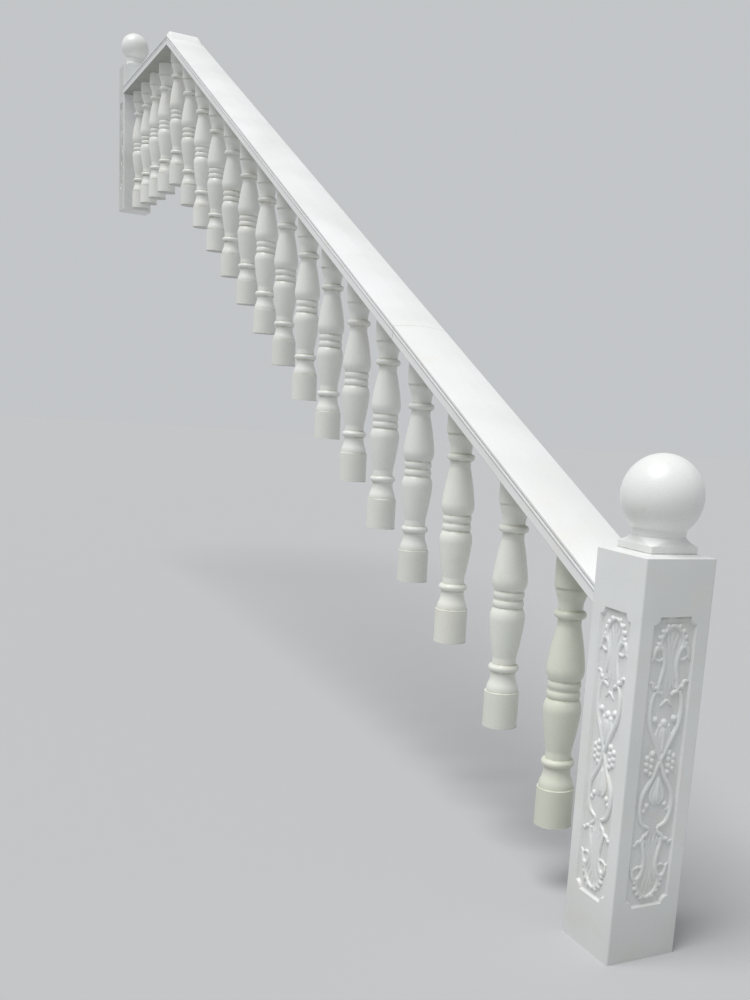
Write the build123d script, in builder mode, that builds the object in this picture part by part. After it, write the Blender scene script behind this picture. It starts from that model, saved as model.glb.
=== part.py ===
from build123d import *
import os
from math import atan2, cos, degrees, radians, sin, tan

os.makedirs("parts", exist_ok=True)

# Stone stair balustrade. All lengths in millimetres, +Z up.
# The origin is the centre of the lower newel's foot. +X runs up the flight in plan,
# +Y points across it towards the open flight. Every piece stands on the line Y = 0.

# the steps that the balusters stand on: the first three are deeper and higher than the rest
first_baluster_x = 344
first_baluster_rise = 187
second_baluster_x = 677
second_baluster_rise = 371
third_baluster_x = 1040
third_baluster_rise = 548
flight_start_x = 1356
flight_start_rise = 692
flight_balusters = 13
going = 299
riser = 144
upper_steps = 5
upper_riser = 149
landing_balusters = 4
landing_start = 320
landing_spacing = 264
landing_end_spacing = 200

# newels, and the size of the top one and its finial over the lower ones
newel_width = 200
lower_newel_height = 988
top_newel_height = 912
newel_arris = 5
newel_weathering = 6
newel_crown_width = 140
top_size = 0.88
panel_width = 124
panel_foot = 139
panel_depth = 7
panel_draft = 35
panel_scoop = 18
lower_panel_top = 138
top_panel_top = 230

# ball finial
ball_radius = 98
ball_rise = 126
neck_radius = 63
neck_ring = 1.5
neck_blend = 12
neck_height = 36
neck_flat = 0.5
flare = 2
flare_share = 0.3
flare_corner = 30
collar_overhang = 4.5
collar_height = 17
collar_corner = 5

# handrail
rail_width = 189
rail_band_height = 24
rail_band_inset = 3
rail_bead_height = 11
rail_bead_inset = 1
rail_groove_height = 5
rail_groove_depth = 6
rail_edge_height = 7
rail_edge_radius = 2.5
rail_crown = 9
rail_slope = 26.03
rail_at_newel = 840.5
rail_over_landing = 722
rail_joint_run = 1470

# turned baluster: each length starts where the one above it in this list ends
base_radius = 51.5
base_height = 105.5
ledge_inset = 4
ledge_height = 1.5
bell_height = 51
bell_turn = 0.45
bell_fullness = 0.56
bell_swell = 1.4
neck_length = 8
ring_height = 22
stem_length = 20

# turned baluster: its middle, and the vases that swell towards it from both ends
middle_height = 380.5
middle_spread = 13.5
middle_ring_height = 22
shoulder_height = 36
shoulder_fullness = 0.87
vase_fullness = 0.6
bulb_radius = 51.8
middle_ring_radius = 46
middle_neck = 42.5

# turned baluster: the lower half is a little stouter than the upper one
lower_neck = 36.5
lower_ring_radius = 45.4
lower_stem = 35
upper_neck = 33
upper_ring_radius = 43.8
upper_stem = 32.2
top_block_radius = 48.5

# how far a piece runs past the plane that cuts it off
overrun = 200

slope = radians(rail_slope)
uphill = Vector(cos(slope), 0, sin(slope))
rail_height = rail_band_height + rail_bead_height + rail_groove_height + rail_edge_height
newel_face = newel_width / 2

# where each baluster's foot stands
feet = [(first_baluster_x, first_baluster_rise), (second_baluster_x, second_baluster_rise),
        (third_baluster_x, third_baluster_rise)]
x, z = flight_start_x, flight_start_rise
for n in range(flight_balusters):
    feet.append((x, z))
    x += going
    z += upper_riser if n + 1 >= flight_balusters - upper_steps else riser
landing_x, landing_z = feet[-1]
landing_feet = [(landing_x + landing_start + landing_spacing * n, landing_z)
                for n in range(landing_balusters)]
top_newel_x = landing_feet[-1][0] + landing_end_spacing

# underside of the handrail: up the slope from the newel, then level over the landing
landing_rail_z = landing_z + rail_over_landing
bend_x = newel_face + (landing_rail_z - rail_at_newel) / tan(slope)
slope_run = (bend_x - newel_face) / cos(slope)
slope_foot = Vector(newel_face, 0, rail_at_newel)
slope_under = Plane(origin=slope_foot, x_dir=uphill, z_dir=(-sin(slope), 0, cos(slope)))
level_under = Plane.XY.offset(landing_rail_z)
newel_back = Plane(origin=(newel_face, 0, 0), x_dir=(0, 1, 0), z_dir=(1, 0, 0))
rail_joint = Plane(origin=slope_foot + uphill * rail_joint_run, x_dir=(0, 1, 0), z_dir=uphill)
mitre = Plane(origin=(bend_x, 0, landing_rail_z), x_dir=(0, 1, 0),
              z_dir=(cos(slope / 2), 0, sin(slope / 2)))


def newel(label, x, z, height, size, panel_top, rail_side):
    """Square shaft with a weathered top and a sunk panel on the three faces clear of the rail.

    Each panel is scooped at its corners.
    """
    face = newel_face * size
    shoulder = height - newel_weathering
    with BuildPart(Plane(origin=(x, 0, z))) as shaft:
        extrude(rounded_square(x, z, face, newel_arris), amount=shoulder)
        loft([rounded_square(x, z + shoulder, face, newel_arris),
              rounded_square(x, z + height, newel_crown_width * size / 2, newel_arris)])
        panel_height = height - panel_foot - panel_top
        middle = z + panel_foot + panel_height / 2
        for turn in (90, -90, 180 if rail_side > 0 else 0):
            out = Vector(cos(radians(turn)), sin(radians(turn)), 0)
            centre = Vector(x, 0, middle) + out * face
            with BuildSketch(Plane(origin=centre, x_dir=(-out.Y, out.X, 0), z_dir=out)):
                Rectangle(panel_width * size, panel_height)
                with GridLocations(panel_width * size, panel_height, 2, 2):
                    Circle(panel_scoop, mode=Mode.SUBTRACT)
            extrude(amount=-panel_depth, taper=panel_draft, mode=Mode.SUBTRACT)
    shaft.part.label = label
    export_step(shaft.part, f"parts/{label}.step")


def rounded_square(x, z, radius, corner):
    """Sketch of a square with rounded corners, level at height z."""
    with BuildSketch(Plane(origin=(x, 0, z))) as square:
        RectangleRounded(2 * radius, 2 * radius, corner)
    return square.sketch


def finial(label, x, z, size):
    """Ball blended into a round neck, which stands on a flare and a small square collar."""
    def section(height, radius, corner):
        return rounded_square(x, z + height * size, radius * size, corner * size)

    collar = section(0, neck_radius + collar_overhang, collar_corner)
    mid_flare = collar_height + (neck_height - collar_height) * flare_share
    foot = [section(collar_height, neck_radius + collar_overhang, collar_corner),
            section(mid_flare, neck_radius + flare, flare_corner),
            section(neck_height, neck_radius, neck_radius - neck_flat)]

    # the neck runs up into the ball along an arc that touches both
    neck_foot = neck_height * size
    neck = (neck_radius + neck_ring) * size
    radius = ball_radius * size
    blend = neck_blend * size
    neck_top = ball_rise - ((radius + blend) ** 2 - (neck + blend) ** 2) ** 0.5
    turn = (180 + degrees(atan2(ball_rise - neck_top, -neck - blend))) / 2
    blend_middle = (neck + blend + blend * cos(radians(turn)), neck_top + blend * sin(radians(turn)))
    share = radius / (radius + blend)
    blend_top = ((neck + blend) * share, ball_rise + (neck_top - ball_rise) * share)
    with BuildPart() as ball:
        extrude(collar, amount=collar_height * size)
        loft(foot)
        with BuildSketch(Plane(origin=(x, 0, z), x_dir=(1, 0, 0), z_dir=(0, -1, 0))):
            with BuildLine():
                Polyline((0, neck_foot), (neck, neck_foot), (neck, neck_top))
                ThreePointArc((neck, neck_top), blend_middle, blend_top)
                ThreePointArc(blend_top, (radius, ball_rise), (0, ball_rise + radius))
                Line((0, ball_rise + radius), (0, neck_foot))
            make_face()
        revolve(axis=Axis((x, 0, z), (0, 0, 1)))
    ball.part.label = label
    export_step(ball.part, f"parts/{label}.step")


def rail(label, direction, start, length, cuts):
    """Handrail run out from start and cut off by the given planes.

    Its section has a flat underside, a band, a bead, a shadow groove and a crowned top.
    """
    half = rail_width / 2
    band = half - rail_band_inset
    groove = half - rail_groove_depth
    bead_foot = rail_band_height
    bead_top = bead_foot + rail_bead_height
    edge_foot = bead_top + rail_groove_height
    with BuildPart() as piece:
        with BuildSketch(Plane(origin=start, x_dir=(0, 1, 0), z_dir=direction)) as section:
            with BuildLine():
                Polyline((0, 0), (band, 0), (band, bead_foot), (groove, bead_foot))
                ThreePointArc((groove, bead_foot), (half - rail_bead_inset, bead_foot + rail_bead_height / 2),
                              (groove, bead_top))
                Polyline((groove, bead_top), (groove, edge_foot), (half, edge_foot), (half, rail_height))
                ThreePointArc((half, rail_height), (half / 2, rail_height + rail_crown * 0.75),
                              (0, rail_height + rail_crown))
                Line((0, rail_height + rail_crown), (0, 0))
            make_face()
            mirror(about=Plane.YZ)
            fillet(section.vertices().filter_by_position(Axis.Y, rail_height, rail_height), rail_edge_radius)
        extrude(amount=length)
        for cut, keep in cuts:
            split(bisect_by=cut, keep=keep)
    piece.part.label = label
    export_step(piece.part, f"parts/{label}.step")


def half_turning(end, block_radius, block_foot, neck, ring_radius, stem):
    """Half of a baluster's outline on the plane end, from its end block to the middle."""
    bell_foot = base_height + ledge_height
    bell_top = bell_foot + bell_height
    ring_foot = bell_top + neck_length
    ring_top = ring_foot + ring_height
    stem_top = ring_top + stem_length
    middle_foot = middle_height - middle_spread - middle_ring_height / 2
    middle_top = middle_foot + middle_ring_height
    bulb = middle_foot - shoulder_height
    ledge = block_radius - ledge_inset
    turn = bell_foot + bell_height * bell_turn
    bell = neck + (ledge - neck) * bell_fullness
    vase = stem + (bulb_radius - stem) * vase_fullness
    shoulder = middle_neck + (bulb_radius - middle_neck) * shoulder_fullness
    with BuildSketch(end) as half:
        with BuildLine():
            Polyline((0, block_foot), (block_radius, block_foot), (block_radius, base_height),
                     (ledge, bell_foot))
            ThreePointArc((ledge, bell_foot), ((ledge + bell) / 2 + bell_swell, (bell_foot + turn) / 2),
                          (bell, turn))
            ThreePointArc((bell, turn), ((bell + neck) / 2 - bell_swell, (turn + bell_top) / 2),
                          (neck, bell_top))
            Line((neck, bell_top), (neck, ring_foot))
            ThreePointArc((neck, ring_foot), (ring_radius, ring_foot + ring_height / 2), (stem, ring_top))
            Line((stem, ring_top), (stem, stem_top))
            ThreePointArc((stem, stem_top), (vase, (stem_top + bulb) / 2), (bulb_radius, bulb))
            ThreePointArc((bulb_radius, bulb), (shoulder, bulb + shoulder_height / 2),
                          (middle_neck, middle_foot))
            ThreePointArc((middle_neck, middle_foot),
                          (middle_ring_radius, middle_foot + middle_ring_height / 2),
                          (middle_neck, middle_top))
            Polyline((middle_neck, middle_top), (middle_neck, middle_height), (0, middle_height),
                     (0, block_foot))
        make_face()
    return half.sketch


def baluster(label, x, z, under):
    """Two vases turned about a pair of rings, cut off to the underside of the rail."""
    foot = Plane(origin=(x, 0, z), x_dir=(1, 0, 0), z_dir=(0, -1, 0))
    head = Plane(origin=(x, 0, z + 2 * middle_height), x_dir=(1, 0, 0), z_dir=(0, 1, 0))
    lower = half_turning(foot, base_radius, 0, lower_neck, lower_ring_radius, lower_stem)
    upper = half_turning(head, top_block_radius, -overrun, upper_neck, upper_ring_radius, upper_stem)
    with BuildPart() as turned:
        revolve([lower, upper], axis=Axis((x, 0, z), (0, 0, 1)))
        split(bisect_by=under, keep=Keep.BOTTOM)
    turned.part.label = label
    export_step(turned.part, f"parts/{label}.step")


newel("lower_newel", 0, 0, lower_newel_height, 1, lower_panel_top, 1)
finial("lower_finial", 0, lower_newel_height, 1)
newel("top_newel", top_newel_x, landing_z, top_newel_height, top_size, top_panel_top, -1)
finial("top_finial", top_newel_x, landing_z + top_newel_height, top_size)

slope_start = slope_foot - uphill * overrun
slope_length = slope_run + 2 * overrun
rail("handrail_lower", uphill, slope_start, slope_length, [(newel_back, Keep.TOP), (rail_joint, Keep.BOTTOM)])
rail("handrail_upper", uphill, slope_start, slope_length, [(rail_joint, Keep.TOP), (mitre, Keep.BOTTOM)])
rail("landing_rail", Vector(1, 0, 0), Vector(bend_x - overrun, 0, landing_rail_z),
     top_newel_x - newel_face * top_size - bend_x + overrun, [(mitre, Keep.TOP)])

for n, (x, z) in enumerate(feet):
    baluster(f"baluster_{n + 1:02d}", x, z, level_under if x > bend_x else slope_under)
for n, (x, z) in enumerate(landing_feet):
    baluster(f"landing_baluster_{n + 1}", x, z, level_under)
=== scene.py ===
import math
from random import Random

import bmesh
import bpy
from mathutils import Matrix, Vector


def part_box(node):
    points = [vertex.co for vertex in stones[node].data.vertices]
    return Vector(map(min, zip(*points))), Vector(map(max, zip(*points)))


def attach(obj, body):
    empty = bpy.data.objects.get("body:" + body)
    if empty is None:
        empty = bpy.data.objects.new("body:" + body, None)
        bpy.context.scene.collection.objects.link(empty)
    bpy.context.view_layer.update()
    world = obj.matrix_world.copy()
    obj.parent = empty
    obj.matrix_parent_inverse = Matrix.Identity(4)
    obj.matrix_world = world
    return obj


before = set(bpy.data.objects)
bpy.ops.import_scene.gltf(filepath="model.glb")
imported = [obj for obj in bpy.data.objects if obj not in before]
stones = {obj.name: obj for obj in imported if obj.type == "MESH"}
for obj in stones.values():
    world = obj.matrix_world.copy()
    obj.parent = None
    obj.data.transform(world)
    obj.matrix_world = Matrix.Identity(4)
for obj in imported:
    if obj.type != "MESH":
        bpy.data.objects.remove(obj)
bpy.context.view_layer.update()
millimetre = 0.001
print("frame loaded,", len(stones), "stones")


# short ways to place shader nodes and meshes
def addNode(tree, kind, feeds=None, **settings):
    node = tree.nodes.new("ShaderNode" + kind)
    for key, value in settings.items():
        setattr(node, key, value)
    for key, value in (feeds or {}).items():
        if isinstance(value, bpy.types.NodeSocket):
            tree.links.new(value, node.inputs[key])
        else:
            node.inputs[key].default_value = value
    return node


def addNoise(tree, vector, scale, detail, distortion=0.0):
    feeds = {"Vector": vector, "Scale": scale, "Detail": detail, "Distortion": distortion}
    return addNode(tree, "TexNoise", feeds).outputs["Fac"]


def addRange(tree, value, low, high, toLow=0.0, toHigh=1.0):
    feeds = {"Value": value, "From Min": low, "From Max": high, "To Min": toLow, "To Max": toHigh}
    return addNode(tree, "MapRange", feeds, interpolation_type="SMOOTHSTEP").outputs[0]


def addPattern(tree, vector, pattern):
    noise, span = pattern
    return addRange(tree, addNoise(tree, vector, *noise), *span)


def addMath(tree, operation, first, second=0.0, clamp=False):
    return addNode(tree, "Math", {0: first, 1: second}, operation=operation, use_clamp=clamp).outputs[0]


def addMix(tree, factor, first, second, blend="MIX"):
    node = addNode(tree, "Mix", {0: factor, 6: first, 7: second}, data_type="RGBA", blend_type=blend)
    return node.outputs[2]


def bandAt(tree, value, middle, width, strength):
    off = addMath(tree, "ABSOLUTE", addMath(tree, "SUBTRACT", value, middle))
    return addRange(tree, off, 0, width, strength, 0)


def newMesh(name, bm):
    mesh = bpy.data.meshes.new(name)
    bm.to_mesh(mesh)
    bm.free()
    return mesh


def link(name, data):
    thing = bpy.data.objects.new(name, data)
    bpy.context.scene.collection.objects.link(thing)
    return thing


def addPiece(name, mesh, material):
    mesh.materials.append(material)
    piece = link(name, mesh)
    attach(piece, "root")


# the camera stands low, out from the lower newel and to one side of it
view = {
    "place": (-2.0526, 1.5588, 1.2696),
    "yaw": -29.7667,      # degrees, 0 looks along +X
    "pitch": -11.9799,
    "roll": 4.2892,
    "focalPixels": 1098.97,      # for the picture's long side
    "centrePixel": (505.587, 648.895),      # where the lens looks straight ahead
    "pictureSize": (750, 1000),
}

studio = {
    "floorColour": (0.5, 0.505, 0.51, 1),
    "floorRoughness": 0.9,
    "floorShine": 0.1,
    "floorSize": 80,
    "backColour": (0.545, 0.56, 0.575, 1),
    "skyColour": (0.95, 0.975, 1, 1),
    "skyStrength": 0.4,
    "sunDirection": (-0.06, 0.27, 0.66),      # towards the light
    "sunStrength": 2.45,
    "sunAngle": 36,      # degrees across, for soft shadows
}


def addCamera():
    yaw, pitch, roll = (math.radians(view[k]) for k in ("yaw", "pitch", "roll"))
    ahead = Vector((math.cos(pitch) * math.cos(yaw), math.cos(pitch) * math.sin(yaw), math.sin(pitch)))
    right = ahead.cross(Vector((0, 0, 1))).normalized()
    up = right.cross(ahead)
    tiltedRight = math.cos(roll) * right + math.sin(roll) * up
    tiltedUp = -math.sin(roll) * right + math.cos(roll) * up
    turn = Matrix((tiltedRight, tiltedUp, -ahead)).transposed().to_4x4()
    lens = bpy.data.cameras.new("stairFoot")
    wide, high = view["pictureSize"]
    lens.lens = lens.sensor_width * view["focalPixels"] / high
    lens.shift_x = (wide / 2 - view["centrePixel"][0]) / high
    lens.shift_y = (view["centrePixel"][1] - high / 2) / high
    camera = link("stairFoot", lens)
    camera.matrix_world = Matrix.Translation(view["place"]) @ turn
    bpy.context.scene.camera = camera


def addSun():
    light = bpy.data.lights.new("cloudySun", "SUN")
    light.energy = studio["sunStrength"]
    light.angle = math.radians(studio["sunAngle"])
    sun = link("cloudySun", light)
    sun.rotation_euler = Vector(studio["sunDirection"]).to_track_quat("Z", "Y").to_euler()


def addWorld():
    world = bpy.data.worlds.new("overcast")
    bpy.context.scene.world = world
    world.use_nodes = True
    tree = world.node_tree
    tree.nodes.clear()
    path = addNode(tree, "LightPath").outputs
    direct = addMath(tree, "MAXIMUM", path["Is Camera Ray"], path["Is Glossy Ray"])
    seen = addMath(tree, "MAXIMUM", direct, path["Is Transmission Ray"])
    sky = addNode(tree, "Background", {"Color": studio["skyColour"], "Strength": studio["skyStrength"]})
    back = addNode(tree, "Background", {"Color": studio["backColour"]})
    mix = addNode(tree, "MixShader", {0: seen, 1: sky.outputs[0], 2: back.outputs[0]})
    addNode(tree, "OutputWorld", {"Surface": mix.outputs[0]})


def addFloor():
    bm = bmesh.new()
    bmesh.ops.create_grid(bm, x_segments=1, y_segments=1, size=studio["floorSize"] / 2)
    floor = link("floor", newMesh("floor", bm))
    paint = bpy.data.materials.new("floorPaint")
    paint.use_nodes = True
    shader = paint.node_tree.nodes["Principled BSDF"]
    shader.inputs["Base Color"].default_value = studio["floorColour"]
    shader.inputs["Roughness"].default_value = studio["floorRoughness"]
    shader.inputs["Specular IOR Level"].default_value = studio["floorShine"]
    floor.data.materials.append(paint)


addCamera()
addSun()
addWorld()
addFloor()
bpy.context.scene.view_settings.view_transform = "Standard"
print("studio ready")

# the sizes that the stones share, in metres, as the frame has them
masonry = {
    "slope": math.radians(26.03),
    "slopeFoot": (0.1, 0, 0.8405),      # underside of the handrail at the newel
    "railJoint": 1.47,      # run of the lower length of handrail
    "panelFoot": 0.139,
    "panelTop": {"lower_newel": 0.138, "top_newel": 0.23},
    "panelDepth": 0.007,
    "newelSize": {"lower_newel": 1, "top_newel": 0.88},      # over the lower newel's
}
uphill = Vector((math.cos(masonry["slope"]), 0, math.sin(masonry["slope"])))
railNormal = Vector((-math.sin(masonry["slope"]), 0, math.cos(masonry["slope"])))
balusters = sorted(name for name in stones if "baluster" in name)
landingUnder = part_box("landing_rail")[0].z
bendX = masonry["slopeFoot"][0] + (landingUnder - masonry["slopeFoot"][2]) / math.tan(masonry["slope"])
bend = Vector((bendX, 0, landingUnder))


def footOf(name):
    low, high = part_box(name)
    return Vector(((low.x + high.x) / 2, (low.y + high.y) / 2, low.z))


# the stone's shared looks, each a group with named inputs
stone = {
    "shade": (0.70, 0.725, 0.685, 1),
    "cream": (0.815, 0.785, 0.725, 1),
    # the colour that dirt and painted shade darken the stone towards
    "grimeAndPaintedShade": (0.23, 0.235, 0.20, 1),
    # a pattern is a noise, as scale, detail and distortion, and the range that it is drawn from and to
    "broad": ((2.4, 5, 0.4), (0.38, 0.72, 0, 0.75)),
    "blotch": ((9, 6, 0.8), (0.5, 0.78, 0, 0.6)),
    "crystal": ((380, 2), (0.25, 0.75, 0.955, 1.035)),
    "pits": ((130, 2, 0.3), (0.66, 0.74, 0, -0.7)),
    "wear": ((6, 4, 0.5), (0.3, 0.7, -0.07, 0.09)),
    "patch": (14, 5),
    "streak": (1, 5, 0.5),
    "streakScale": (26, 26, 2.2),
    "brokenRange": (0.14, 0.38, 0.25, 1),
    "dripRange": (0.56, 0.8),
    "streaks": 0.03,
    "grain": (520, 3),
    "grainHeight": 0.22,
    "toolMarks": (22, 3),
    "toolHeight": 0.9,
    "dirtRoughness": 0.3,
    "reliefStrength": 0.1,
    "reliefDepth": 0.002,
    "refraction": 1.49,
}


def newGroup(name, inputs, outputs):
    group = bpy.data.node_groups.new(name, "ShaderNodeTree")
    for direction, sockets in (("INPUT", inputs), ("OUTPUT", outputs)):
        for label, kind in sockets.items():
            group.interface.new_socket(label, in_out=direction, socket_type="NodeSocket" + kind)
    return group, group.nodes.new("NodeGroupInput").outputs, group.nodes.new("NodeGroupOutput").inputs


def makeClouds():
    inputs = {"Vector": "Vector", "White": "Color", "Shade": "Color", "Cream": "Color"}
    group, given, out = newGroup("stoneClouds", inputs, {"Color": "Color"})
    place = given["Vector"]
    tinted = addMix(group, addPattern(group, place, stone["broad"]), given["White"], given["Shade"])
    tinted = addMix(group, addPattern(group, place, stone["blotch"]), tinted, given["Cream"])
    sparkling = addMix(group, 1.0, tinted, addPattern(group, place, stone["crystal"]), "MULTIPLY")
    group.links.new(sparkling, out["Color"])
    return group


def makeGrimeAndPaintedShade():
    inputs = {"Vector": "Vector", "Color": "Color", "GrimeAndShadeColour": "Color", "Mask": "Float", "Shade": "Float",
              "Streaks": "Float"}
    group, given, out = newGroup("grimeAndPaintedShade", inputs, {"Color": "Color"})
    place = given["Vector"]
    stretched = addNode(group, "Mapping", {"Vector": place, "Scale": stone["streakScale"]}).outputs[0]
    streak = addNoise(group, stretched, *stone["streak"])
    patch = addNoise(group, place, *stone["patch"])
    broken = addRange(group, addMath(group, "MULTIPLY", patch, streak), *stone["brokenRange"])
    drip = addMath(group, "MULTIPLY", addRange(group, streak, *stone["dripRange"]), given["Streaks"])
    amount = addMath(group, "MULTIPLY", given["Mask"], broken)
    # Shade is painted shade, laid evenly where shade falls
    amount = addMath(group, "MAXIMUM", amount, given["Shade"])
    amount = addMath(group, "MAXIMUM", amount, drip, clamp=True)
    group.links.new(addMix(group, amount, given["Color"], given["GrimeAndShadeColour"]), out["Color"])
    return group


def makeSkin():
    inputs = {"Vector": "Vector", "Roughness": "Float", "Mask": "Float"}
    group, given, out = newGroup("stoneSkin", inputs, {"Roughness": "Float", "Height": "Float"})
    place = given["Vector"]
    grain = addMath(group, "MULTIPLY", addNoise(group, place, *stone["grain"]), stone["grainHeight"])
    tooled = addMath(group, "MULTIPLY", addNoise(group, place, *stone["toolMarks"]), stone["toolHeight"])
    height = addMath(group, "ADD", grain, tooled)
    group.links.new(addMath(group, "ADD", height, addPattern(group, place, stone["pits"])), out["Height"])
    worn = addMath(group, "ADD", given["Roughness"], addPattern(group, place, stone["wear"]))
    dulled = addMath(group, "MULTIPLY", given["Mask"], stone["dirtRoughness"])
    group.links.new(addMath(group, "ADD", worn, dulled), out["Roughness"])
    return group


clouds, grimeAndPaintedShade, skin = makeClouds(), makeGrimeAndPaintedShade(), makeSkin()


def stoneMaterial(name, origin, turn, maskOf, roughness, white, shade=stone["shade"], cream=stone["cream"],
                  stainAndShade=stone["grimeAndPaintedShade"], streaks=stone["streaks"]):
    # maskOf gives where the broken dirt and painted shade lie, and where painted shade makes the stone evenly
    # darker
    material = bpy.data.materials.new(name)
    material.use_nodes = True
    tree = material.node_tree
    place = addNode(tree, "TexCoord").outputs["Object"]
    local = addNode(tree, "Mapping", {"Vector": place, "Location": origin, "Rotation": turn},
                    vector_type="TEXTURE").outputs[0]
    mask, paintedShade = maskOf(tree, addNode(tree, "SeparateXYZ", {0: local}).outputs)
    tone = addNode(tree, "Group", {"Vector": place, "White": white, "Shade": shade, "Cream": cream},
                   node_tree=clouds).outputs["Color"]
    dirtyAndShaded = addNode(tree, "Group", {"Vector": place, "Color": tone, "GrimeAndShadeColour": stainAndShade, "Mask": mask,
                                    "Shade": paintedShade, "Streaks": streaks}, node_tree=grimeAndPaintedShade).outputs["Color"]
    surface = addNode(tree, "Group", {"Vector": place, "Roughness": roughness, "Mask": mask},
                      node_tree=skin).outputs
    relief = addNode(tree, "Bump", {"Height": surface["Height"], "Strength": stone["reliefStrength"],
                                    "Distance": stone["reliefDepth"]})
    shader = tree.nodes["Principled BSDF"]
    tree.links.new(dirtyAndShaded, shader.inputs["Base Color"])
    tree.links.new(surface["Roughness"], shader.inputs["Roughness"])
    tree.links.new(relief.outputs[0], shader.inputs["Normal"])
    shader.inputs["IOR"].default_value = stone["refraction"]
    return material


def dress(name, material):
    slots = stones[name].data.materials
    slots.clear()
    slots.append(material)


# balusters: dirt and painted shade at the foot and in every crease of the turning, painted shade under the
# rail at the head and on the plain block at the foot
# a pair is what the value would be at the lower newel and at the top one, or the heights between
# which it fades
turning = {
    "creases": (0.107, 0.166, 0.188, 0.356, 0.3805, 0.405, 0.573, 0.595, 0.654),      # above the foot
    "creaseWidth": 0.0048,
    # the creases get a yellowish stain with painted shade, more of it up the flight
    "creaseDirtAndShade": (0.6, 0.9),
    "shaftDirt": 0.03,
    # dirt and painted shade at the foot
    "footDirtAndShade": 0.22,
    "footReach": 0.016,
    # painted shade on the head under the handrail, more of it up the flight
    "headPaintedShade": (0.12, 0.24),
    "headReach": (0.64, 0.76),
    "blockPaintedShade": (0.16, 0.02),      # painted shade makes the plain block at the foot a little darker
    "blockReach": (0.07, 0.16),
    "streaks": (0.03, 0.14),
    "fullHeight": 0.82,
    "stainAndShade": (0.34, 0.33, 0.21, 1),
    # the lowest baluster has yellowed, the others are whiter and none quite alike
    "tones": {"baluster_01": (0.75, 0.77, 0.665, 1), "baluster_02": (0.845, 0.865, 0.80, 1),
              "baluster_03": (0.865, 0.87, 0.81, 1)},
    "tone": (0.865, 0.87, 0.835, 1),
    "toneSpread": 0.025,
    "shadeOverTone": 0.92,
    "roughness": 0.33,
}


def between(ends, share):
    return ends[0] + (ends[1] - ends[0]) * share


def grey(value):
    return (value, value, value, 1)


def balusterMaskFor(share):
    def mask(tree, split):
        ramp = addNode(tree, "ValToRGB", {0: addMath(tree, "DIVIDE", split["Z"], turning["fullHeight"])})
        clean = grey(turning["shaftDirt"])
        creased = grey(between(turning["creaseDirtAndShade"], share))
        stops = ramp.color_ramp.elements
        stops[0].color = grey(turning["footDirtAndShade"])
        stops[1].position = turning["footReach"] / turning["fullHeight"]
        stops[1].color = clean
        for height in turning["creases"]:
            for offset, dirt in ((-1, clean), (0, creased), (1, clean)):
                stop = stops.new((height + offset * turning["creaseWidth"]) / turning["fullHeight"])
                stop.color = dirt
        # painted shade at the head and on the foot block
        head = addRange(tree, split["Z"], *turning["headReach"], 0, between(turning["headPaintedShade"], share))
        block = addRange(tree, split["Z"], *turning["blockReach"], between(turning["blockPaintedShade"], share), 0)
        return addMath(tree, "MAXIMUM", ramp.outputs["Color"], head), block

    return mask


chance = Random(7)
for name in balusters:
    share = footOf(name).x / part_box("top_newel")[0].x
    shift = chance.uniform(-1, 1) * turning["toneSpread"]
    tone = turning["tones"].get(name, tuple(c + shift for c in turning["tone"][:3]) + (1,))
    shade = tuple(c * turning["shadeOverTone"] for c in tone[:3]) + (1,)
    dress(name, stoneMaterial(name + "Stone", footOf(name), (0, 0, 0), balusterMaskFor(share),
                              turning["roughness"], tone, shade, stainAndShade=turning["stainAndShade"],
                              streaks=between(turning["streaks"], share)))

# handrail: dirt and painted shade in the shadow groove and the line under the bead, and painted shade evenly
# over the underside
moulding = {
    "beadFoot": 0.024,
    "lineWidth": 0.0022,
    "lineDirtAndShade": 0.16,
    "grooveMiddle": 0.0375,
    "grooveWidth": 0.004,
    "grooveDirtAndShade": 0.22,
    "undersideReach": 0.0015,
    # painted shade on the underside
    "undersidePaintedShade": 0.8,
    # the level rail's white is darker than the sloping rail's: painted shade
    "white": {"slopeRail": (0.885, 0.89, 0.885, 1), "levelRail": (0.79, 0.80, 0.80, 1)},
    "shade": (0.80, 0.81, 0.79, 1),
    "cream": (0.86, 0.845, 0.80, 1),
    "roughness": 0.4,
}


def railMask(tree, split):
    height = split["Z"]
    # the line and the groove are dirt with painted shade, the underside is painted shade
    line = bandAt(tree, height, moulding["beadFoot"], moulding["lineWidth"], moulding["lineDirtAndShade"])
    groove = bandAt(tree, height, moulding["grooveMiddle"], moulding["grooveWidth"], moulding["grooveDirtAndShade"])
    under = addRange(tree, height, 0, moulding["undersideReach"], moulding["undersidePaintedShade"], 0)
    return addMath(tree, "MAXIMUM", line, groove), under


for label, origin, turn, rails in (
        ("slopeRail", masonry["slopeFoot"], (0, -masonry["slope"], 0), ("handrail_lower", "handrail_upper")),
        ("levelRail", bend, (0, 0, 0), ("landing_rail",))):
    railStone = stoneMaterial(label + "Stone", origin, turn, railMask, moulding["roughness"],
                              moulding["white"][label], moulding["shade"], moulding["cream"])
    for name in rails:
        dress(name, railStone)

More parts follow.
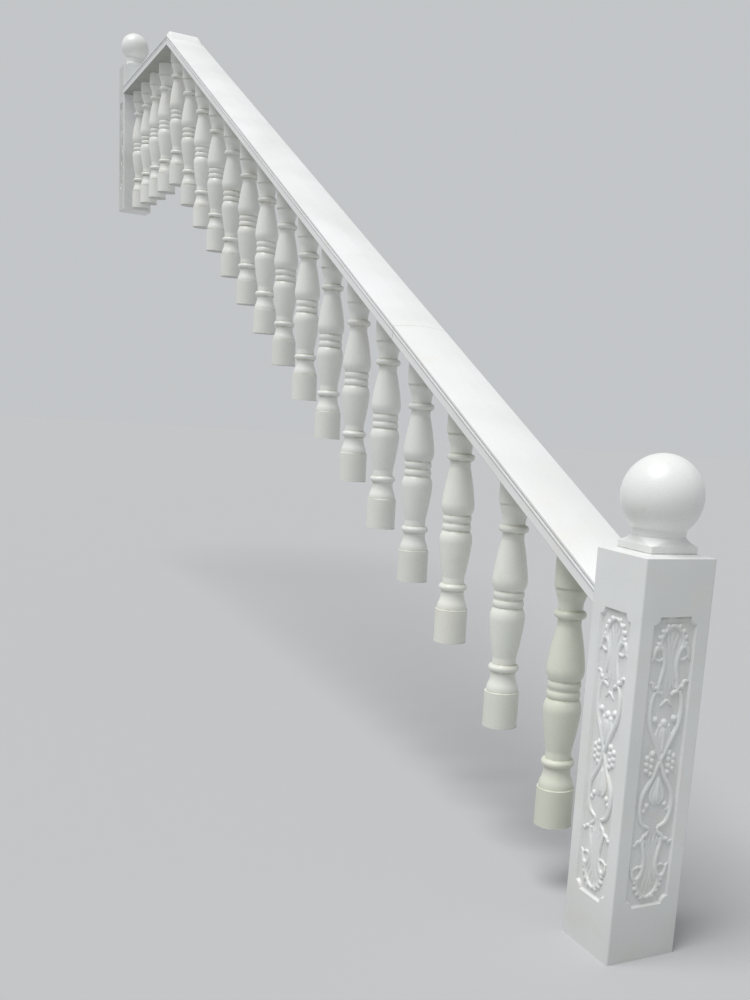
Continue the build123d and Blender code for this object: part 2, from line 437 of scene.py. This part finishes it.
# newels: dirt and painted shade on the sunk ground round the carving, a painted shadow under the panel's
# head, painted shade and dirt towards the foot, painted shade on the top newel's +Y side, and the top newel's
# white painted lighter
post = {
    # painted shade and dirt darken the stone towards the foot, higher up on the top newel
    "footReach": {"lower_newel": 0.34, "top_newel": 0.75},
    "footPaintedShade": 0.24,
    "footDirtAndShade": 0.12,
    # dirt and painted shade on the sunk ground round the carving
    "groundDirtAndShade": 0.16,
    "groundFade": 0.003,      # up the sides of the panel
    "topClear": (0.09, 0.1),      # this far down from the top the ground's dirt starts
    "headDrop": 0.004,      # the painted shadow line lies this far under the panel's head
    "headWidth": 0.0055,
    "headPaintedShadow": 0.6,
    "sunkEdge": (0.0015, 0.0005),      # in from the newel's face
    "farPaintedShade": {"lower_newel": 0.0, "top_newel": 0.42},      # painted shade on the +Y side
    "farFade": 0.002,
    "farEdge": (0.007, 0.004),      # in from the arris
    # the top newel's white is lighter than the lower's: painted light
    "white": {"lower_newel": (0.83, 0.84, 0.835, 1), "top_newel": (0.92, 0.93, 0.935, 1)},
    "roughness": 0.38,
}


def newelMaskFor(name):
    low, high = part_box(name)
    tall = high.z - low.z
    half = (high.x - low.x) / 2
    sunk = half - masonry["panelDepth"]
    headLine = tall - masonry["panelTop"][name] - post["headDrop"]

    def mask(tree, split):
        sideways = addMath(tree, "ABSOLUTE", split["X"])
        reach = addMath(tree, "MAXIMUM", sideways, addMath(tree, "ABSOLUTE", split["Y"]))
        ground = addRange(tree, reach, sunk, sunk + post["groundFade"], post["groundDirtAndShade"], 0)
        inside = addRange(tree, split["Z"], *(tall - drop for drop in post["topClear"]))
        foot = addRange(tree, split["Z"], 0, post["footReach"][name], 1, 0)
        # a painted shadow under the panel's head
        head = bandAt(tree, split["Z"], headLine, post["headWidth"], post["headPaintedShadow"])
        sunken = addRange(tree, reach, *(half - edge for edge in post["sunkEdge"]), 1, 0)
        shadow = addMath(tree, "MULTIPLY", head, sunken)
        # worn is dirt and painted shade on the sunk ground and towards the foot
        worn = addMath(tree, "MAXIMUM", addMath(tree, "MULTIPLY", ground, inside),
                       addMath(tree, "MULTIPLY", foot, post["footDirtAndShade"]))
        flat = addRange(tree, sideways, *(half - edge for edge in post["farEdge"]), 1, 0)
        far = addRange(tree, split["Y"], sunk - post["farFade"], sunk, 0, post["farPaintedShade"][name])
        # painted shade: evenly darker towards the foot and on the +Y side
        paintedShade = addMath(tree, "MAXIMUM", addMath(tree, "MULTIPLY", foot, post["footPaintedShade"]),
                       addMath(tree, "MULTIPLY", flat, far))
        return addMath(tree, "MAXIMUM", worn, shadow), paintedShade

    return mask


for name in ("lower_newel", "top_newel"):
    dress(name, stoneMaterial(name + "Stone", footOf(name), (0, 0, 0), newelMaskFor(name),
                              post["roughness"], post["white"][name]))

# finials: a fine line of dirt and painted shade under the collar and where the neck rises from the flare, and
# painted shade round the neck and the lower half of the ball
finial = {
    "collarReach": 0.003,
    "collarDirtAndShade": 0.2,
    "flareLine": 0.0365,
    "flareWidth": 0.002,
    "flareDirtAndShade": 0.08,
    # painted shade in a band round the neck and the lower half of the ball
    "bellyMiddle": 0.08,
    "bellyWidth": 0.05,
    "bellyPaintedShade": 0.06,
    "white": (0.885, 0.89, 0.875, 1),
    "shade": (0.81, 0.825, 0.79, 1),
    "roughness": 0.36,
}


def finialMask(tree, split):
    collar = addRange(tree, split["Z"], 0, finial["collarReach"], finial["collarDirtAndShade"], 0)
    flare = bandAt(tree, split["Z"], finial["flareLine"], finial["flareWidth"], finial["flareDirtAndShade"])
    belly = bandAt(tree, split["Z"], finial["bellyMiddle"], finial["bellyWidth"], finial["bellyPaintedShade"])
    return addMath(tree, "MAXIMUM", collar, flare), belly


for name in ("lower_finial", "top_finial"):
    dress(name, stoneMaterial(name + "Stone", footOf(name), (0, 0, 0), finialMask, finial["roughness"],
                              finial["white"], finial["shade"]))
print("stones dressed")

# carving: strands, leaves and berries on the sunk panels, mirrored about the middle of each
scroll = {
    # across and along from the panel's middle, then the radius, all in millimetres
    "arms": (((-3, 2, 5.4), (0, 10, 5.4), (8, 28, 6), (17, 48, 6.4), (28, 70, 6.8), (39, 94, 7), (44, 120, 7),
              (44, 143, 6.6), (41, 162, 6), (34, 179, 5)),
             ((-3, 18, 5.4), (0, 10, 5.4), (8, -9, 5.8), (17, -31, 6.4), (31, -53, 6.8), (42, -76, 7),
              (45, -101, 7), (42, -126, 6.6), (33, -145, 6), (22, -152, 5.4), (12, -156, 4.4))),
    "brackets": (((13, 166, 3), (16, 174, 5), (26, 178, 5.6), (31, 187, 5.6), (41, 189, 5.4), (45, 200, 5),
                  (58, 201, 3.6)),
                 ((11, -156, 3.4), (17, -170, 5), (26, -177, 5.4), (32, -187, 5.6), (43, -189, 5.4),
                  (49, -197, 4.8), (60, -194, 3.4))),
    "tent": ((19, 141, 1.2), (14, 146, 3.2), (7, 153, 4.2), (0, 158, 4.4)),
    "stem": ((24, 184, 4.5), (26, 196, 5.6), (22, 216, 6.2), (18, 243, 6.2), (22, 268, 6.2), (32, 283, 6.6),
             (42, 282, 6.4), (48, 271, 6), (50, 260, 5), (57, 252, 3)),
    "eyelid": ((23, 256, 4), (32, 253, 4.6), (40, 255, 4.2), (47, 260, 3)),
    "arch": ((27, 280, 5), (32, 294, 5.4), (29, 309, 5.4), (21, 322, 5.4), (10, 331, 5.4), (0, 335, 5.4)),
    # a lobe has its root and its tip, and widths as shares of its length and of its radius
    "lobes": ((33, 288, 44, 294), (31, 302, 42, 311), (24, 315, 34, 326), (13, 327, 20, 338)),
    "lobeRadius": 7,
    "lobeWidths": ((0, 0.6), (0.35, 1), (0.75, 0.9), (1, 0.4)),
    "flutes": (((25, 304, 1.5), (21, 288, 5), (14, 266, 5.4), (12, 240, 4.6), (12, 214, 4.6), (15, 192, 4.4),
                (19, 174, 1.5)),
               ((15, 322, 1.5), (12, 302, 5.6), (6, 278, 5.6), (4, 250, 4.8), (4, 218, 4.8), (6, 190, 4.8),
                (9, 168, 1.5)),
               ((0, 326, 1.5), (0, 306, 4.6), (0, 284, 3.4), (0, 268, 1))),
    "bud": ((0, 28, 4), (0, 40, 8), (0, 56, 13), (0, 72, 16.5), (0, 84, 16), (0, 92, 11), (0, 97, 5)),
    "budRib": ((0, 34, 1.6), (0, 55, 2.8), (0, 74, 3), (0, 88, 2)),
    "budLeaf": ((3, 30, 2.6), (10, 48, 4), (17, 66, 4.8), (18, 82, 4.8), (11, 93, 4.2), (4, 99, 3)),
    "upperBerries": ((27, 112, 7.6), (14, 94, 5.4)),
    "lowerBerries": ((26, 99, 6.8), (33, 112, 5.4)),
    "middleBerries": ((24, 29, 7.6), (38, 19, 7), (24, 13, 7.2), (38, 4, 7), (25, -3, 7), (37, -11, 6.6),
                      (25, -19, 6.4)),
    "crown": (0, 103, 9),      # the large berry on the upper bud
    "overlap": 0.8,      # how far one arm passes over the other at the middle
    "berryRise": 0.86,      # height of a berry over its radius
    "berryRounds": 3,
    "cupWidth": 2,      # how far the cup round a berry stands out
    "cupRise": 0.3,
    "roundRise": 0.95,
    "lowRise": 0.4,
    "ribLift": 5.2,
    "strandSteps": 6,
    "strandRound": 2,
    "voxel": 1.25,
    "wear": 4,      # rounds of smoothing that soften the carving
    "wearFactor": 0.5,
    "bedding": 0.5,      # how far the carving reaches into the ground
    "tallest": 6.9,
    "patternHeight": 711,      # the panel that the pattern was drawn for
}


def addStrand(curve, knots, side=1, end=1, lift=0.0):
    spline = curve.splines.new("BEZIER")
    spline.bezier_points.add(len(knots) - 1)
    spline.resolution_u = scroll["strandSteps"]
    for point, (across, along, radius) in zip(spline.bezier_points, knots):
        point.co = (side * across, end * along, lift)
        point.radius = radius
        point.handle_left_type = point.handle_right_type = "AUTO"


def newStrands(name):
    curve = bpy.data.curves.new(name, "CURVE")
    curve.dimensions = "3D"
    curve.bevel_depth = 1
    curve.bevel_resolution = scroll["strandRound"]
    curve.use_fill_caps = True
    return curve


def meshOf(thing):
    return bpy.data.meshes.new_from_object(thing.evaluated_get(bpy.context.evaluated_depsgraph_get()))


def takeStrands(bm, curve, rise):
    holder = link(curve.name, curve)
    mesh = meshOf(holder)
    mesh.transform(Matrix.Diagonal((1, 1, rise, 1)))
    bm.from_mesh(mesh)
    bpy.data.objects.remove(holder)
    bpy.data.meshes.remove(mesh)
    bpy.data.curves.remove(curve)


def addLobe(curve, lobe, side, end):
    rootX, rootY, tipX, tipY = lobe
    knots = [(rootX + (tipX - rootX) * share, rootY + (tipY - rootY) * share, scroll["lobeRadius"] * width)
             for share, width in scroll["lobeWidths"]]
    addStrand(curve, knots, side, end)


def addBerries(bm, berries, side, end):
    for across, along, radius in berries:
        place = Matrix.Translation((side * across, end * along, 0))
        for size, rise in ((radius, scroll["berryRise"]), (radius + scroll["cupWidth"], scroll["cupRise"])):
            bmesh.ops.create_icosphere(bm, subdivisions=scroll["berryRounds"], radius=size,
                                       matrix=place @ Matrix.Diagonal((1, 1, rise, 1)))


def makeScroll(name, panelHeight):
    bm = bmesh.new()
    rounds = newStrands("rounds")
    flats = newStrands("flats")
    for side in (1, -1):
        for strand in scroll["arms"] + scroll["brackets"]:
            addStrand(rounds, strand, side, 1, side * scroll["overlap"])
        addStrand(rounds, scroll["tent"], side)
        for end in (1, -1):
            for part in ("stem", "eyelid", "arch"):
                addStrand(rounds, scroll[part], side, end)
            for lobe in scroll["lobes"]:
                addLobe(rounds, lobe, side, end)
            for flute in scroll["flutes"]:
                addStrand(flats, flute, side, end)
            addStrand(rounds, scroll["budLeaf"], side, end)
        addBerries(bm, scroll["upperBerries"], side, 1)
        addBerries(bm, scroll["lowerBerries"], side, -1)
        addBerries(bm, scroll["middleBerries"], side, 1)
    for end in (1, -1):
        addStrand(flats, scroll["bud"], 1, end)
        addStrand(rounds, scroll["budRib"], 1, end, scroll["ribLift"])
    addBerries(bm, (scroll["crown"],), 1, 1)
    takeStrands(bm, rounds, scroll["roundRise"])
    takeStrands(bm, flats, scroll["lowRise"])
    mesh = newMesh(name, bm)
    mesh.transform(Matrix.Diagonal((1, panelHeight / scroll["patternHeight"], 1, 1)))
    return carve(mesh)


def cutEdges(cut):
    return [g for g in cut["geom_cut"] if isinstance(g, bmesh.types.BMEdge)]


def smoothFaces(bm):
    for face in bm.faces:
        face.smooth = True


def carve(mesh):
    # one skin over all the strands, cut off where it meets the sunk ground
    holder = link(mesh.name, mesh)
    remesh = holder.modifiers.new("oneSkin", "REMESH")
    remesh.mode = "VOXEL"
    remesh.voxel_size = scroll["voxel"]
    skinned = meshOf(holder)
    bpy.data.objects.remove(holder)
    bm = bmesh.new()
    bm.from_mesh(skinned)
    for n in range(scroll["wear"]):
        bmesh.ops.smooth_vert(bm, verts=bm.verts, factor=scroll["wearFactor"],
                              use_axis_x=True, use_axis_y=True, use_axis_z=True)
    cut = bmesh.ops.bisect_plane(bm, geom=bm.verts[:] + bm.edges[:] + bm.faces[:], clear_inner=True,
                                 plane_co=(0, 0, -scroll["bedding"]), plane_no=(0, 0, 1))
    bmesh.ops.holes_fill(bm, edges=cutEdges(cut), sides=0)
    tall = [v for v in bm.verts if v.co.z > scroll["tallest"]]
    bmesh.ops.scale(bm, vec=(1, 1, 0), verts=tall, space=Matrix.Translation((0, 0, -scroll["tallest"])))
    bmesh.ops.triangulate(bm, faces=[f for f in bm.faces if len(f.verts) > 4])
    bmesh.ops.recalc_face_normals(bm, faces=bm.faces)
    smoothFaces(bm)
    bm.to_mesh(skinned)
    bm.free()
    print(mesh.name, "has", len(skinned.polygons), "faces")
    return skinned


def placeScrolls(name, turns):
    low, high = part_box(name)
    half = (high.x - low.x) / 2
    panelFoot = low.z + masonry["panelFoot"]
    panelHead = high.z - masonry["panelTop"][name]
    scale = millimetre * masonry["newelSize"][name]
    pattern = makeScroll(name + "Scroll", (panelHead - panelFoot) / scale)
    for turn in turns:
        out = Vector((math.cos(math.radians(turn)), math.sin(math.radians(turn)), 0))
        middle = Vector((low.x + half, 0, (panelFoot + panelHead) / 2)) + out * (half - masonry["panelDepth"])
        face = Matrix((Vector((-out.y, out.x, 0)), Vector((0, 0, 1)), out)).transposed().to_4x4()
        mesh = pattern.copy()
        mesh.transform(Matrix.Translation(middle) @ face @ Matrix.Scale(scale, 4))
        addPiece(f"{name}_carving_{turn % 360}", mesh, stones[name].data.materials[0])
    bpy.data.meshes.remove(pattern)


placeScrolls("lower_newel", (90, 180, -90))
placeScrolls("top_newel", (90, 0, -90))
print("panels carved")

# bedding mortar shows as a thin line where two stones meet
bedding = {
    "thickness": 0.002,
    "jointThickness": 0.0016,
    "proud": 0.0005,
    "weld": 1e-5,      # corners of a stone's mesh nearer than this are one
    "cutReach": 1e-6,      # corners nearer than this to a cut lie on it
    "pale": (0.64, 0.64, 0.615, 1),
    "rail": (0.70, 0.70, 0.68, 1),
    "darkest": 0.6,
    "patches": ((60, 5), (0.3, 0.7, 0, 0.6)),
    "grit": (900, 3),
    "gritStrength": 0.5,
    "gritDepth": 0.001,
    "roughness": 0.9,
}


def mortarMaterial(name, colour, darkest):
    material = bpy.data.materials.new(name)
    material.use_nodes = True
    tree = material.node_tree
    shader = tree.nodes["Principled BSDF"]
    place = addNode(tree, "TexCoord").outputs["Object"]
    shade = tuple(c * darkest for c in colour[:3]) + (1,)
    patched = addMix(tree, addPattern(tree, place, bedding["patches"]), colour, shade)
    grit = addNoise(tree, place, *bedding["grit"])
    relief = addNode(tree, "Bump", {"Height": grit, "Strength": bedding["gritStrength"],
                                    "Distance": bedding["gritDepth"]})
    tree.links.new(patched, shader.inputs["Base Color"])
    tree.links.new(relief.outputs[0], shader.inputs["Normal"])
    shader.inputs["Roughness"].default_value = bedding["roughness"]
    return material


def addSlice(bm, name, point, normal, thickness):
    # a slice of the stone's own outline, a hair larger than the stone
    part = bmesh.new()
    part.from_mesh(stones[name].data)
    bmesh.ops.remove_doubles(part, verts=part.verts, dist=bedding["weld"])
    for place, inner in ((Vector(point), True), (Vector(point) + normal * thickness, False)):
        cut = bmesh.ops.bisect_plane(part, geom=part.verts[:] + part.edges[:] + part.faces[:],
                                     dist=bedding["cutReach"], plane_co=place, plane_no=normal,
                                     clear_inner=inner, clear_outer=not inner)
        bmesh.ops.holes_fill(part, edges=[e for e in cutEdges(cut) if len(e.link_faces) == 1], sides=0)
    middle = sum((v.co for v in part.verts), Vector()) / len(part.verts)
    grow = 1 + bedding["proud"] / max(abs(v.co.y) for v in part.verts)
    bmesh.ops.scale(part, vec=(grow, grow, grow), verts=part.verts, space=Matrix.Translation(-middle))
    bmesh.ops.recalc_face_normals(part, faces=part.faces)
    mesh = newMesh("slice", part)
    bm.from_mesh(mesh)
    bpy.data.meshes.remove(mesh)


def addMortar(name, slices, material, thickness):
    bm = bmesh.new()
    for node, point, normal in slices:
        addSlice(bm, node, point, normal, thickness)
    addPiece(name, newMesh(name, bm), material)


upward = Vector((0, 0, 1))
halfSlope = masonry["slope"] / 2
mitreNormal = Vector((math.cos(halfSlope), 0, math.sin(halfSlope)))
footSlices = [(name, footOf(name), upward) for name in balusters]
headSlices = [(name, bend, -upward) if footOf(name).x > bendX else (name, masonry["slopeFoot"], -railNormal)
              for name in balusters]
railSlices = [
    ("handrail_lower", masonry["slopeFoot"], Vector((1, 0, 0))),
    ("handrail_lower", Vector(masonry["slopeFoot"]) + uphill * masonry["railJoint"], -uphill),
    ("landing_rail", bend, mitreNormal),
    ("landing_rail", (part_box("landing_rail")[1].x, 0, 0), Vector((-1, 0, 0))),
]
collarSlices = [(name, footOf(name), upward) for name in ("lower_finial", "top_finial")]
paleMortar = mortarMaterial("paleMortar", bedding["pale"], bedding["darkest"])
railMortar = mortarMaterial("railMortar", bedding["rail"], bedding["darkest"])
addMortar("foot_mortar", footSlices, paleMortar, bedding["thickness"])
addMortar("head_mortar", headSlices, paleMortar, bedding["thickness"])
addMortar("rail_mortar", railSlices, railMortar, bedding["jointThickness"])
addMortar("collar_mortar", collarSlices, paleMortar, bedding["thickness"])

# a low saddle of mortar over the mitre, in millimetres
ridge = {
    "reach": (100, 92),      # along the rail and across it, each way from the middle
    "rise": 15,
    "sink": 1.5,
    "thickness": 12,
    "steps": 26,
    "unevenness": 0.35,
    "shoulder": 6,      # how steeply it ends at the rail's edges
    "shoulderCurve": 0.6,
    "railTop": 56,      # top of the rail over its underside, at the middle
    "railCrown": 9,
    "white": (0.86, 0.87, 0.86, 1),
    "darkest": 0.9,
}


def addRidge():
    along, across = ridge["reach"]
    bm = bmesh.new()
    bmesh.ops.create_grid(bm, x_segments=ridge["steps"], y_segments=ridge["steps"], size=1)
    for vert in bm.verts:
        u, v = vert.co.x, vert.co.y
        fall = ridge["railCrown"] * v * v
        stoneTop = -abs(u) * along * math.tan(halfSlope) - fall
        ending = min(1, ridge["shoulder"] * (1 - abs(v))) ** ridge["shoulderCurve"]
        heap = (ridge["rise"] + fall) * (1 - u * u) * ending
        uneven = chance.uniform(-1, 1) * ridge["unevenness"]
        vert.co = (u * along, v * across, stoneTop + heap - ridge["sink"] + uneven)
    bmesh.ops.solidify(bm, geom=bm.faces[:], thickness=ridge["thickness"])
    bmesh.ops.recalc_face_normals(bm, faces=bm.faces)
    if bm.calc_volume(signed=True) < 0:
        bmesh.ops.reverse_faces(bm, faces=bm.faces)
    smoothFaces(bm)
    heights = [v.co.z for v in bm.verts]
    print("ridge stands", round(max(heights), 1), "down to", round(min(heights), 1))
    mitre = Matrix((mitreNormal, Vector((0, 1, 0)), Vector((-mitreNormal.z, 0, mitreNormal.x)))).transposed()
    crest = bend + mitre.col[2] * ridge["railTop"] * millimetre
    mesh = newMesh("mitre_ridge", bm)
    mesh.transform(Matrix.Translation(crest) @ mitre.to_4x4() @ Matrix.Scale(millimetre, 4))
    mortar = mortarMaterial("ridgeMortar", ridge["white"], ridge["darkest"])
    addPiece("mitre_ridge", mesh, mortar)


addRidge()
print("mortar laid")
